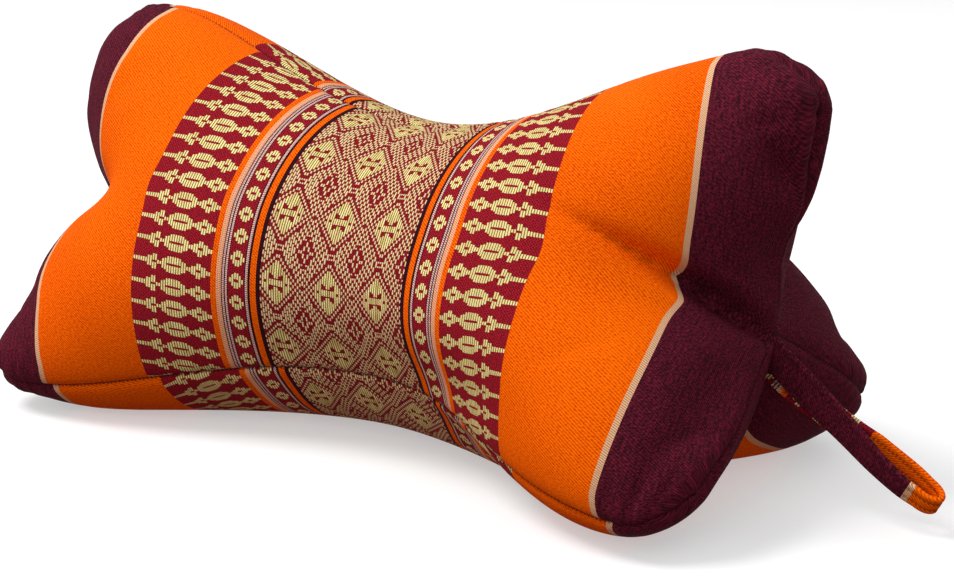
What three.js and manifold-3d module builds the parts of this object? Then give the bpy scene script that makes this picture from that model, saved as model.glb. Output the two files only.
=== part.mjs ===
// Bone-shaped meditation cushion: three like panels, sewn edge to edge and stuffed firmly, with a
// carrying loop sewn into one end. Millimetres, +Z up, +X towards the loop, the floor at Z = 0.
import * as THREE from 'three';
import { mergeVertices } from 'three/addons/utils/BufferGeometryUtils.js';
import Module from 'manifold-3d';

// One panel as it is cut, laid flat: u runs along the cushion and v across the panel.
const PANEL = {
  halfLength: 190,
  halfWaist: 64,
  halfEnd: 97.4,
  widestAt: 0.844,
  swellPower: 0.935,
  corner: 31.5,
  cornerInset: 30,
  insetStart: 0.45,
  endBow: 2.9,
};
const PANEL_COUNT = 3;

// The cloth and its filling, as the settling below uses them.
const CLOTH = {
  pull: { along: 1, shear: 0.05, bend: 0.05 },
  push: { along: 0.02, shear: 0.006, bend: 0.05 },
  pressure: 0.1,
  weight: 0.005,
  damping: 0.9,
  passes: 4,
};

// Panel grids from coarse to fine, with the settling steps of each.
const GRIDS = [
  { rows: 24, columns: 12, steps: 260 },
  { rows: 48, columns: 24, steps: 160 },
];

// The seams lie in shallow channels.
const SEAM_CHANNEL = 1.6;

// The turned corners are soft: within this share of the panel's ends they are evened out.
const CORNER = { from: 0.76, rounds: 4 };

// Troughs pressed into the filled cloth: a row for each, placed by cloth coordinates on a panel.
// Panel 0 is the back, 1 the underside and 2 the front. turn is the angle of its length from u.
// Towards each end's centre every panel has a crease, and the lobes have smaller dents.
const TROUGHS = [
  { panel: 2, u: 150, v: 2, length: 32, width: 8, depth: 4.5, turn: -10 },
  { panel: 2, u: -152, v: -2, length: 28, width: 8, depth: 3.2, turn: 6 },
  { panel: 0, u: 152, v: -3, length: 30, width: 8, depth: 3.8, turn: 5 },
  { panel: 0, u: -148, v: 2, length: 30, width: 8, depth: 3.4, turn: -7 },
  { panel: 1, u: 150, v: 2, length: 28, width: 8, depth: 3.0, turn: 4 },
  { panel: 1, u: -150, v: -1, length: 28, width: 8, depth: 3.0, turn: -3 },
  { panel: 2, u: 172, v: 56, length: 13, width: 6, depth: 2.4, turn: -35 },
  { panel: 2, u: 156, v: -70, length: 18, width: 7, depth: 1.6, turn: 60 },
  { panel: 2, u: -124, v: 44, length: 16, width: 9, depth: 1.6, turn: 55 },
  { panel: 2, u: -146, v: -58, length: 20, width: 8, depth: 1.8, turn: -50 },
  { panel: 0, u: 158, v: 54, length: 18, width: 8, depth: 2.0, turn: -40 },
  { panel: 0, u: 150, v: -62, length: 20, width: 9, depth: 1.8, turn: 48 },
  { panel: 0, u: -156, v: 60, length: 17, width: 8, depth: 2.2, turn: 42 },
  // The end seams between the lobes, and the waist's lower seam, are drawn in.
  { panel: 2, u: -172, v: -42, length: 14, width: 24, depth: 7.0, turn: 20 },
  { panel: 1, u: -172, v: 42, length: 14, width: 24, depth: 7.0, turn: -20 },
  { panel: 2, u: 172, v: -45, length: 14, width: 24, depth: 5.0, turn: -20 },
  { panel: 1, u: 172, v: 45, length: 14, width: 24, depth: 5.0, turn: 20 },
  { panel: 2, u: 184, v: 25, length: 14, width: 16, depth: 5.0, turn: 0 },
  { panel: 0, u: 184, v: -25, length: 14, width: 16, depth: 5.0, turn: 0 },
  { panel: 2, u: -150, v: 92, length: 22, width: 12, depth: 3.0, turn: 0 },
  { panel: 0, u: -150, v: -92, length: 22, width: 12, depth: 3.0, turn: 0 },
  { panel: 2, u: 20, v: -60, length: 75, width: 22, depth: 4.0, turn: 0 },
  { panel: 1, u: 20, v: 60, length: 75, width: 22, depth: 4.0, turn: 0 },
  // The filling is fuller in some lobes, where the depth is below nothing.
  { panel: 2, u: 162, v: 80, length: 16, width: 16, depth: -8.0, turn: 0 },
  { panel: 0, u: 162, v: -80, length: 16, width: 16, depth: -8.0, turn: 0 },
  { panel: 2, u: -176, v: 40, length: 16, width: 26, depth: -5.0, turn: 0 },
  { panel: 0, u: -176, v: -40, length: 16, width: 26, depth: -5.0, turn: 0 },
  { panel: 2, u: -158, v: -90, length: 12, width: 12, depth: -4.0, turn: 0 },
  { panel: 1, u: -158, v: 90, length: 12, width: 12, depth: -4.0, turn: 0 },
];

// The carrying loop: a stitched band, doubled, that droops from the end's centre to the floor and
// opens into an eye. Each row is a place along it: how far out from the centre and down, how far
// apart the middles of its two runs lie, the band's width, and how far it is turned from level.
const LOOP_PATH = [
  { out: -12, down: -6, apart: 2.7, width: 10, turn: 95 },
  { out: 0, down: 7, apart: 2.7, width: 11.5, turn: 93 },
  { out: 15, down: 19.5, apart: 2.8, width: 12.5, turn: 90 },
  { out: 31, down: 31.5, apart: 4.4, width: 12, turn: 86 },
  { out: 44, down: 41, apart: 9, width: 11, turn: 80 },
  { out: 55, down: 48.5, apart: 11.2, width: 10, turn: 76 },
  { out: 62, down: 53.5, apart: 9, width: 9.5, turn: 74 },
];
const LOOP = { thickness: 2.2, edgeEase: 0.7, tipLength: 6.5, runSteps: 36, bendSteps: 12 };
const CLEARANCE = 0.3;

const COLOURS = {
  cover: new THREE.Color(0.86, 0.26, 0.03),
  loop: new THREE.Color(0.16, 0.05, 0.1),
};

// Cloth coordinates of a grid place, where s and t run from -1 to 1 along u and v.
function clothPoint(s, t) {
  const a = Math.abs(s);
  const swell = (0.5 - 0.5 * Math.cos(Math.PI * Math.min(a / PANEL.widestAt, 1))) ** PANEL.swellPower;
  const past = Math.max(a - PANEL.widestAt, 0) / (1 - PANEL.widestAt);
  const rounding = PANEL.corner * past ** 2;
  const halfWidth = THREE.MathUtils.lerp(PANEL.halfWaist, PANEL.halfEnd, swell) - rounding;
  const edge = Math.max(Math.abs(t) - PANEL.insetStart, 0) / (1 - PANEL.insetStart);
  const inset = PANEL.cornerInset * edge ** 2 * a ** 6;
  const bow = PANEL.endBow * (1 - t * t) * a ** 4;
  return { u: s * PANEL.halfLength + Math.sign(s) * (bow - inset), v: t * halfWidth };
}

// The three panels' grids with their edges sewn, so that a seam's two sides share their vertices.
function sewPanels({ rows, columns }) {
  const middle = columns / 2;
  const numbers = new Map();
  function vertex(panel, row, column) {
    const atEnd = row === 0 || row === rows;
    let key = `${panel},${row},${column}`;
    if (atEnd && column === middle) key = `pole,${row}`;
    else if (column === 0 || (atEnd && column < middle)) {
      const neighbour = (panel + PANEL_COUNT - 1) % PANEL_COUNT;
      key = `${neighbour},${row},${columns - column}`;
    }
    if (!numbers.has(key)) numbers.set(key, numbers.size);
    return numbers.get(key);
  }
  const panels = [];
  for (let panel = 0; panel < PANEL_COUNT; panel++) {
    const grid = [];
    for (let row = 0; row <= rows; row++) {
      const line = [];
      for (let column = 0; column <= columns; column++) {
        const cloth = clothPoint((2 * row) / rows - 1, (2 * column) / columns - 1);
        line.push({ vertex: vertex(panel, row, column), u: cloth.u, v: cloth.v });
      }
      grid.push(line);
    }
    panels.push(grid);
  }
  return { rows, columns, panels, count: numbers.size };
}

// A loose three-sided bolster for the settling to start from.
function startShape(shell) {
  const START_RADIUS = PANEL.halfWaist * 1.1;
  const START_STRETCH = 0.8;
  const points = new Float64Array(shell.count * 3);
  shell.panels.forEach((grid, panel) => {
    const facing = Math.PI / 6 - (panel * 2 * Math.PI) / PANEL_COUNT;
    grid.forEach((line, row) => line.forEach((place, column) => {
      const s = (2 * row) / shell.rows - 1;
      const t = (2 * column) / shell.columns - 1;
      const end = Math.abs(s) ** 8;
      const spread = t === 0 ? 0 : Math.abs(t) ** (1 - end);
      const angle = facing - (Math.sign(t) * spread * Math.PI) / PANEL_COUNT;
      const lobe = 1 + 0.5 * Math.abs(s) ** 3 * t * t;
      const radius = START_RADIUS * Math.sqrt(Math.max(1 - end * (1 - t * t), 0)) * lobe;
      points[place.vertex * 3] = s * PANEL.halfLength * START_STRETCH;
      points[place.vertex * 3 + 1] = radius * Math.cos(angle);
      points[place.vertex * 3 + 2] = radius * (Math.sin(angle) + 1);
    }));
  });
  return points;
}

// Threads between grid places, each as long as the flat cloth between them.
function threadsOf(shell) {
  const STRANDS = [
    { kind: 'along', offsets: [[1, 0], [0, 1]] },
    { kind: 'shear', offsets: [[1, 1], [1, -1]] },
    { kind: 'bend', offsets: [[2, 0], [0, 2]] },
  ];
  const threads = [];
  const known = new Set();
  for (const { kind, offsets } of STRANDS) {
    for (const [down, across] of offsets) {
      for (const grid of shell.panels) {
        for (let row = 0; row + down <= shell.rows; row++) {
          for (let column = 0; column <= shell.columns; column++) {
            const from = grid[row][column];
            const to = grid[row + down][column + across];
            if (!to || from.vertex === to.vertex) continue;
            const low = Math.min(from.vertex, to.vertex);
            const pair = `${low},${from.vertex + to.vertex - low}`;
            if (known.has(pair)) continue;
            known.add(pair);
            const length = Math.hypot(to.u - from.u, to.v - from.v);
            threads.push({ from: from.vertex * 3, to: to.vertex * 3, length, kind });
          }
        }
      }
    }
  }
  return threads;
}

// The shell's four-cornered faces, their corners in order seen from outside.
function facesOf(shell) {
  const faces = [];
  for (const grid of shell.panels) {
    for (let row = 0; row < shell.rows; row++) {
      for (let column = 0; column < shell.columns; column++) {
        const near = grid[row];
        const far = grid[row + 1];
        const corners = [near[column], far[column], far[column + 1], near[column + 1]];
        const face = corners.map((corner) => corner.vertex);
        // The first and third corners lie on the line from the panel's middle to its corner.
        const leftHalf = row < shell.rows / 2;
        const lowHalf = column < shell.columns / 2;
        faces.push(leftHalf === lowHalf ? face : [...face.slice(1), face[0]]);
      }
    }
  }
  return faces;
}

// Each vertex's share of the outward face areas, as vectors.
function areaVectors(points, faces) {
  const areas = new Float64Array(points.length);
  const diagonal = new THREE.Vector3();
  const other = new THREE.Vector3();
  const corner = (number) => new THREE.Vector3().fromArray(points, number * 3);
  for (const [a, b, c, d] of faces) {
    diagonal.subVectors(corner(c), corner(a));
    other.subVectors(corner(d), corner(b));
    const share = diagonal.cross(other).multiplyScalar(1 / 8);
    for (const number of [a, b, c, d]) {
      areas[number * 3] += share.x;
      areas[number * 3 + 1] += share.y;
      areas[number * 3 + 2] += share.z;
    }
  }
  return areas;
}

// Moves a thread's two ends towards its flat length.
function drawThread(points, thread) {
  const { from, to, length, kind } = thread;
  const dx = points[to] - points[from];
  const dy = points[to + 1] - points[from + 1];
  const dz = points[to + 2] - points[from + 2];
  const now = Math.sqrt(dx * dx + dy * dy + dz * dz) + 1e-9;
  const strain = (now - length) / now;
  const share = 0.5 * strain * (strain > 0 ? CLOTH.pull[kind] : CLOTH.push[kind]);
  points[from] += share * dx;
  points[from + 1] += share * dy;
  points[from + 2] += share * dz;
  points[to] -= share * dx;
  points[to + 1] -= share * dy;
  points[to + 2] -= share * dz;
}

// Fills the shell and lets it settle on the floor.
function settle(shell, start, steps) {
  const faces = facesOf(shell);
  const threads = threadsOf(shell);
  let points = start;
  const speed = new Float64Array(points.length);
  for (let step = 0; step < steps; step++) {
    const areas = areaVectors(points, faces);
    let total = 0;
    for (let k = 0; k < shell.count; k++) total += Math.hypot(areas[k * 3], areas[k * 3 + 1], areas[k * 3 + 2]);
    const push = (CLOTH.pressure * shell.count) / total;
    const next = new Float64Array(points.length);
    for (let k = 0; k < points.length; k++) {
      const fall = k % 3 === 2 ? CLOTH.weight : 0;
      next[k] = points[k] + speed[k] * CLOTH.damping + push * areas[k] - fall;
    }
    for (let pass = 0; pass < CLOTH.passes; pass++) threads.forEach((thread) => drawThread(next, thread));
    for (let k = 2; k < points.length; k += 3) next[k] = Math.max(next[k], 0);
    for (let k = 0; k < points.length; k++) speed[k] = next[k] - points[k];
    points = next;
  }
  return points;
}

// Positions on a grid twice as fine, halfway between those of the settled one.
function refine(shell, points, finer) {
  const result = new Float64Array(finer.count * 3);
  finer.panels.forEach((grid, panel) => grid.forEach((line, row) => line.forEach((place, column) => {
    const near = [Math.floor(row / 2), Math.ceil(row / 2)];
    const beside = [Math.floor(column / 2), Math.ceil(column / 2)];
    for (let axis = 0; axis < 3; axis++) {
      let sum = 0;
      for (const i of near) for (const j of beside) sum += points[shell.panels[panel][i][j].vertex * 3 + axis];
      result[place.vertex * 3 + axis] = sum / 4;
    }
  })));
  return result;
}

// Evens out the panels' corners, where cloth turned inside out can't hold a sharp point.
function softenCorners(shell, points) {
  const neighbours = Array.from({ length: shell.count }, () => new Set());
  const share = new Float64Array(shell.count);
  for (const face of facesOf(shell)) {
    face.forEach((vertex, k) => neighbours[vertex].add(face[(k + 1) % 4]).add(face[(k + 3) % 4]));
  }
  shell.panels.forEach((grid) => grid.forEach((line, row) => line.forEach((place, column) => {
    const s = Math.abs((2 * row) / shell.rows - 1);
    const t = Math.abs((2 * column) / shell.columns - 1);
    const near = THREE.MathUtils.smoothstep(Math.min(s, t), CORNER.from, 1);
    share[place.vertex] = Math.max(share[place.vertex], near);
  })));
  for (let round = 0; round < CORNER.rounds; round++) {
    const before = points.slice();
    for (let vertex = 0; vertex < shell.count; vertex++) {
      if (share[vertex] === 0) continue;
      for (let axis = 0; axis < 3; axis++) {
        let sum = 0;
        for (const other of neighbours[vertex]) sum += before[other * 3 + axis];
        const mean = sum / neighbours[vertex].size;
        points[vertex * 3 + axis] = THREE.MathUtils.lerp(before[vertex * 3 + axis], mean, share[vertex]);
      }
    }
  }
}

// How far a place on a panel is pressed in by the troughs.
function troughDepth(panel, u, v) {
  let depth = 0;
  for (const trough of TROUGHS) {
    if (trough.panel !== panel) continue;
    const turn = THREE.MathUtils.degToRad(trough.turn);
    const du = u - trough.u;
    const dv = v - trough.v;
    const along = (du * Math.cos(turn) + dv * Math.sin(turn)) / trough.length;
    const across = (dv * Math.cos(turn) - du * Math.sin(turn)) / trough.width;
    depth += trough.depth * Math.exp(-along * along - across * across);
  }
  return depth;
}

// Presses the troughs and the seams' channels into the settled shell, above the floor. Where panels
// meet, the depth is the mean of theirs.
function pressIn(shell, points) {
  const areas = areaVectors(points, facesOf(shell));
  const depths = new Float64Array(shell.count);
  const panelsAt = new Float64Array(shell.count);
  shell.panels.forEach((grid, panel) => grid.forEach((line, row) => line.forEach((place, column) => {
    const seam = row === 0 || row === shell.rows || column === 0 || column === shell.columns;
    depths[place.vertex] += troughDepth(panel, place.u, place.v) + (seam ? SEAM_CHANNEL : 0);
    panelsAt[place.vertex] += 1;
  })));
  for (let k = 0; k < shell.count; k++) {
    if (points[k * 3 + 2] <= 0) continue;
    const normal = new THREE.Vector3().fromArray(areas, k * 3).normalize();
    const depth = depths[k] / panelsAt[k];
    const place = new THREE.Vector3().fromArray(points, k * 3).addScaledVector(normal, -depth);
    place.z = Math.max(place.z, 0);
    place.toArray(points, k * 3);
  }
}

function surfaceGeometry(points, triangles) {
  const geometry = new THREE.BufferGeometry();
  geometry.setAttribute('position', new THREE.Float32BufferAttribute(points, 3));
  geometry.setIndex(triangles);
  geometry.computeVertexNormals();
  return geometry;
}

// The filled cushion, with the centre of its +X end.
function makeCushion() {
  let shell = sewPanels(GRIDS[0]);
  let points = settle(shell, startShape(shell), GRIDS[0].steps);
  for (const size of GRIDS.slice(1)) {
    const finer = sewPanels(size);
    points = settle(finer, refine(shell, points, finer), size.steps);
    shell = finer;
  }
  softenCorners(shell, points);
  pressIn(shell, points);
  const triangles = facesOf(shell).flatMap(([a, b, c, d]) => [a, b, c, a, c, d]);
  const pole = shell.panels[0][shell.rows][shell.columns / 2].vertex;
  const geometry = surfaceGeometry(points, triangles);
  return { geometry, endCentre: new THREE.Vector3().fromArray(points, pole * 3) };
}

// A smooth value between the rows of the loop's table, for a share of the way along it.
function loopValue(name, share) {
  const places = LOOP_PATH.map((row, k) => new THREE.Vector3(k, row[name], 0));
  return new THREE.CatmullRomCurve3(places).getPoint(share).y;
}

// The band's middle line from one end, round the tip and back to the other, with its width.
function loopRoute(endCentre) {
  const centre = new THREE.CatmullRomCurve3(LOOP_PATH.map(({ out, down }) => (
    endCentre.clone().add(new THREE.Vector3(out, 0, -down)))));
  const place = (share, side, beyond) => {
    const turn = THREE.MathUtils.degToRad(-loopValue('turn', share));
    const outward = centre.getTangent(share);
    const across = new THREE.Vector3(0, 1, 0).applyAxisAngle(outward, turn);
    const apart = new THREE.Vector3().crossVectors(outward, across);
    const middle = centre.getPoint(share).addScaledVector(outward, beyond);
    middle.addScaledVector(apart, (side * loopValue('apart', share)) / 2);
    return { middle, across, width: loopValue('width', share) };
  };
  const shares = Array.from({ length: LOOP.runSteps }, (_, k) => k / LOOP.runSteps);
  const route = shares.map((share) => place(share, 1, 0));
  for (let k = 0; k <= LOOP.bendSteps; k++) {
    const angle = (Math.PI * k) / LOOP.bendSteps;
    route.push(place(1, Math.cos(angle), LOOP.tipLength * Math.sin(angle)));
  }
  shares.reverse().forEach((share) => route.push(place(share, -1, 0)));
  return route;
}

// The band as a closed tube of a flat section with eased edges.
function bandGeometry(endCentre) {
  const route = loopRoute(endCentre);
  const thick = LOOP.thickness / 2;
  const ease = LOOP.edgeEase;
  // Corners of the section: sides of the width and the thickness, and how much each is eased.
  const section = [
    [1, 0, thick - ease], [1, ease, thick], [-1, ease, thick], [-1, 0, thick - ease],
    [-1, 0, ease - thick], [-1, ease, -thick], [1, ease, -thick], [1, 0, ease - thick],
  ];
  const points = [];
  route.forEach(({ middle, across, width }, k) => {
    const before = route[Math.max(k - 1, 0)].middle;
    const after = route[Math.min(k + 1, route.length - 1)].middle;
    const run = after.clone().sub(before).normalize();
    const face = new THREE.Vector3().crossVectors(run, across).normalize();
    for (const [side, trim, height] of section) {
      const corner = middle.clone().addScaledVector(across, side * (width / 2 - trim));
      points.push(...corner.addScaledVector(face, height).toArray());
    }
  });
  const n = section.length;
  const triangles = [];
  for (let k = 0; k + 1 < route.length; k++) {
    for (let j = 0; j < n; j++) {
      const next = (j + 1) % n;
      const [a, b, c, d] = [k * n + j, k * n + next, (k + 1) * n + next, (k + 1) * n + j];
      triangles.push(a, b, c, a, c, d);
    }
  }
  const last = (route.length - 1) * n;
  for (let j = 1; j + 1 < n; j++) {
    triangles.push(0, j + 1, j);
    triangles.push(last, last + j, last + j + 1);
  }
  return surfaceGeometry(points, triangles);
}

// A copy of a surface, moved outward by the clearance between sewn pieces.
function grown(geometry) {
  const copy = geometry.clone();
  const place = copy.getAttribute('position');
  const normal = copy.getAttribute('normal');
  for (let k = 0; k < place.count; k++) {
    place.setXYZ(
      k,
      place.getX(k) + CLEARANCE * normal.getX(k),
      place.getY(k) + CLEARANCE * normal.getY(k),
      place.getZ(k) + CLEARANCE * normal.getZ(k),
    );
  }
  return copy;
}

const wasm = await Module();
wasm.setup();

function toSolid(geometry) {
  const bare = geometry.clone();
  bare.deleteAttribute('normal');
  const merged = mergeVertices(bare);
  const vertProperties = new Float32Array(merged.getAttribute('position').array);
  const triVerts = new Uint32Array(merged.getIndex().array);
  return new wasm.Manifold(new wasm.Mesh({ numProp: 3, vertProperties, triVerts }));
}

function fromSolid(solid) {
  const mesh = solid.getMesh();
  return surfaceGeometry(Array.from(mesh.vertProperties), Array.from(mesh.triVerts));
}

function makeMesh(name, geometry, color, roughness) {
  const material = new THREE.MeshStandardMaterial({ color, roughness, metalness: 0 });
  const mesh = new THREE.Mesh(geometry, material);
  mesh.name = name;
  return mesh;
}

const { geometry: cushion, endCentre } = makeCushion();
// The band's ends are trimmed to the cushion's surface, where the seam takes them.
const loop = fromSolid(toSolid(bandGeometry(endCentre)).subtract(toSolid(grown(cushion))));

const object = new THREE.Group();
object.add(makeMesh('cushion', cushion, COLOURS.cover, 0.85));
object.add(makeMesh('carry_loop', loop, COLOURS.loop, 0.85));

// The origin is under the middle of the whole object.
const box = new THREE.Box3().setFromObject(object);
const centre = box.getCenter(new THREE.Vector3());
object.position.set(-centre.x, -centre.y, 0);

export default object;
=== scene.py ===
# A bone-shaped meditation cushion of three sewn panels in banded khit cotton, with a carrying loop.
# Cloth sizes are in millimetres, as cut; Blender's objects are in metres.
import math

import bpy
import numpy as np
from mathutils import Matrix, Vector


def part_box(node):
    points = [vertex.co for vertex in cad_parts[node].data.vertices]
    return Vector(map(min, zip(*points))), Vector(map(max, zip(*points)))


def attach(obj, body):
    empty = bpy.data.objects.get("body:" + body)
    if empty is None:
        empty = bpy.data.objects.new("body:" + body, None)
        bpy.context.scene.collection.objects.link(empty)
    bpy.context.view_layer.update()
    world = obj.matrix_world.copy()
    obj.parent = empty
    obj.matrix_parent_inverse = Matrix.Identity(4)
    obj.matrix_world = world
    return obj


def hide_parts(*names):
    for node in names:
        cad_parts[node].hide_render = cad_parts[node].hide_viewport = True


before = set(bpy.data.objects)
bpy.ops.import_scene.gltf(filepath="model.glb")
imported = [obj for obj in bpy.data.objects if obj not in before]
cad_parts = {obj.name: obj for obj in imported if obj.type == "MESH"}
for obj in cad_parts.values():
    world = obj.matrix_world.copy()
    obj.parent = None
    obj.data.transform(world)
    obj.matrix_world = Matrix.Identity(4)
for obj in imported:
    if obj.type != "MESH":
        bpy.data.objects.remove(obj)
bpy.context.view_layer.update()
MM = 0.001

# One panel as it is cut: u runs along the cushion and v across the panel.
PANEL = dict(half_length=190.0, half_waist=64.0, half_end=97.4, widest_at=0.844, swell_power=0.935,
             corner=31.5, corner_inset=30.0, inset_start=0.45, end_bow=2.9)
BACK, UNDERSIDE, FRONT = range(3)
PANELS = (BACK, UNDERSIDE, FRONT)

# How firmly the cloth keeps its length when it is pulled and when it is pushed together: along its
# threads, on the slant, and in bending.
PULL = (1.0, 0.05, 0.05)
PUSH = (0.02, 0.006, 0.05)
# The filling's pressure, the weight, and how much of its speed the cloth keeps at each step.
PRESSURE = 0.1
WEIGHT = 0.005
DAMPING = 0.9
PASSES = 4
# The loose bolster that the settling starts from.
START_RADIUS = PANEL["half_waist"] * 1.1
START_HALF_LENGTH = PANEL["half_length"] * 0.8
START_END_POWER = 8
START_LOBE = 0.5
# Rows, columns and settling steps of the panel grids, from coarse to fine.
GRIDS = ((24, 12, 260), (48, 24, 160))
# From which share of the panel's half sizes its corners are softened, and how often.
CORNER_FROM = 0.76
CORNER_ROUNDS = 4
# How many times the settled grid is then made twice as fine and evened out.
FINER = 2
EVEN_SHARE = 0.5
EVEN_ROUNDS = 2

# Troughs in the filled cloth: panel, u, v, half length, half width, depth and turn of its length.
# Where a depth is below nothing, the filling is fuller.
TROUGHS = (
    (FRONT, 150, 4, 32, 7, 4.5, -10), (FRONT, 146, -4, 26, 6, -1.6, -6),
    (FRONT, 160, 9, 26, 5, -2.5, -9), (FRONT, -152, -2, 28, 8, 3.2, 6),
    (BACK, 152, -3, 30, 8, 3.8, 5), (BACK, -148, 2, 30, 8, 3.4, -7),
    (UNDERSIDE, 150, 2, 28, 8, 3.0, 4), (UNDERSIDE, -150, -1, 28, 8, 3.0, -3),
    (FRONT, 172, 56, 13, 6, 2.4, -35), (FRONT, 156, -70, 18, 7, 1.6, 60),
    (FRONT, -124, 44, 16, 9, 1.6, 55), (FRONT, -146, -58, 20, 8, 1.8, -50),
    (BACK, 158, 54, 18, 8, 2.0, -40), (BACK, 150, -62, 20, 9, 1.8, 48), (BACK, -156, 60, 17, 8, 2.2, 42),
    (FRONT, -172, -42, 14, 24, 7.0, 20), (UNDERSIDE, -172, 42, 14, 24, 7.0, -20),
    (FRONT, 172, -45, 14, 24, 5.0, -20), (UNDERSIDE, 172, 45, 14, 24, 5.0, 20),
    (FRONT, 184, 25, 14, 16, 5.0, 0), (BACK, 184, -25, 14, 16, 5.0, 0),
    (FRONT, -150, 92, 22, 12, 3.0, 0), (BACK, -150, -92, 22, 12, 3.0, 0),
    (FRONT, 20, -60, 75, 22, 4.0, 0), (UNDERSIDE, 20, 60, 75, 22, 4.0, 0),
    (FRONT, 162, 80, 16, 16, -8.0, 0), (BACK, 162, -80, 16, 16, -8.0, 0),
    (FRONT, -176, 40, 16, 26, -5.0, 0), (BACK, -176, -40, 16, 26, -5.0, 0),
    (FRONT, -158, -90, 12, 12, -4.0, 0), (UNDERSIDE, -158, 90, 12, 12, -4.0, 0),
    (FRONT, 176, 75, 28, 9, -4.5, -59), (BACK, 176, -75, 28, 9, -4.5, 59),
    (FRONT, 172, 85, 24, 4, -2.5, -59), (BACK, 172, -85, 24, 4, -2.5, 59),
    (FRONT, 150, 96, 22, 14, -3.5, 0), (BACK, 150, -96, 22, 14, -3.5, 0),
    (BACK, 174, 78, 26, 9, -4.0, -59), (UNDERSIDE, 174, -78, 26, 9, -4.0, 59),
    (FRONT, -176, -45, 14, 22, 4.5, 20), (UNDERSIDE, -176, 45, 14, 22, 4.5, -20),
    (FRONT, 48, -62, 38, 20, 3.5, 0), (UNDERSIDE, 48, 62, 38, 20, 3.5, 0),
)
# Sharp creases and pleats, given in the same way.
CREASES = (
    (FRONT, 165, 1, 34, 1.8, 11.0, -9), (FRONT, 120, 9, 26, 2.6, 4.6, -13),
    (FRONT, -165, -1, 24, 3.0, 2.4, 5), (BACK, 165, -3, 26, 3.0, 3.0, 5), (BACK, -165, 2, 26, 3.0, 3.0, -6),
    (UNDERSIDE, 165, 1, 24, 3.0, 2.6, 3), (UNDERSIDE, -165, -1, 24, 3.0, 2.6, -3),
    (FRONT, 171, 58, 12, 2.2, 2.8, -35), (FRONT, 160, 70, 9, 2.6, 1.8, 38),
    (FRONT, 104, 44, 13, 2.6, 0.9, -48), (FRONT, 112, 22, 12, 2.4, 0.8, -30),
    (FRONT, 116, -34, 15, 3.0, 0.8, 30), (FRONT, 150, -84, 10, 2.0, 2.0, 70),
    (FRONT, 159, -82, 9, 1.8, 1.9, 62), (FRONT, 140, -86, 9, 2.0, 1.4, 84),
    (FRONT, 168, -58, 12, 2.6, 1.5, 30), (FRONT, -152, -70, 13, 3.0, 1.1, -48),
    (FRONT, -166, 52, 13, 2.6, 1.2, 42), (FRONT, -150, 80, 11, 2.4, 1.0, -60),
    (BACK, 160, 58, 14, 2.6, 1.4, -40), (BACK, 152, -70, 14, 2.8, 1.2, 50),
    (BACK, -158, 62, 14, 2.6, 1.3, 42), (BACK, -156, -66, 13, 2.8, 1.1, -48),
    (UNDERSIDE, 160, 64, 13, 2.8, 1.2, -44),
    (UNDERSIDE, -160, 62, 13, 2.8, 1.2, 44), (UNDERSIDE, -156, -66, 13, 2.8, 1.2, -46),
)

# The seams' channels, and the small puckers beside them, which are deeper at the panels' corners.
SEAM_DEPTH = 1.7
SEAM_WIDTH = 1.7
PUCKER_DEPTH = 0.3
TIP_PUCKER_DEPTH = 0.9
PUCKER_PITCH = 8.0
PUCKER_FROM_SEAM = 5
PUCKER_REACH = 6
TIP_AT = (156, 84)
TIP_REACH = (20, 18)
# Along a seam the puckers' pitch drifts by this much, and pitch and depth drift over these lengths.
PITCH_DRIFT = 1.7
PITCH_DRIFT_LENGTH = 23
DEPTH_DRIFT_LENGTH = 31
DEPTH_DRIFT_START = 0.8
# The cloth is pressed in fully from this height above the floor.
FREE_HEIGHT = 3


def cloth_point(s, t):
    """Cloth coordinates of grid places s and t, from -1 to 1 along u and v."""
    a = np.abs(s)
    swell = (0.5 - 0.5 * np.cos(np.pi * np.minimum(a / PANEL["widest_at"], 1))) ** PANEL["swell_power"]
    past = np.maximum(a - PANEL["widest_at"], 0) / (1 - PANEL["widest_at"])
    half_width = PANEL["half_waist"] + (PANEL["half_end"] - PANEL["half_waist"]) * swell
    half_width = half_width - PANEL["corner"] * past**2
    edge = np.maximum(np.abs(t) - PANEL["inset_start"], 0) / (1 - PANEL["inset_start"])
    inset = PANEL["corner_inset"] * edge**2 * a**6
    bow = PANEL["end_bow"] * (1 - t * t) * a**4
    return s * PANEL["half_length"] + np.sign(s) * (bow - inset), t * half_width


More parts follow.
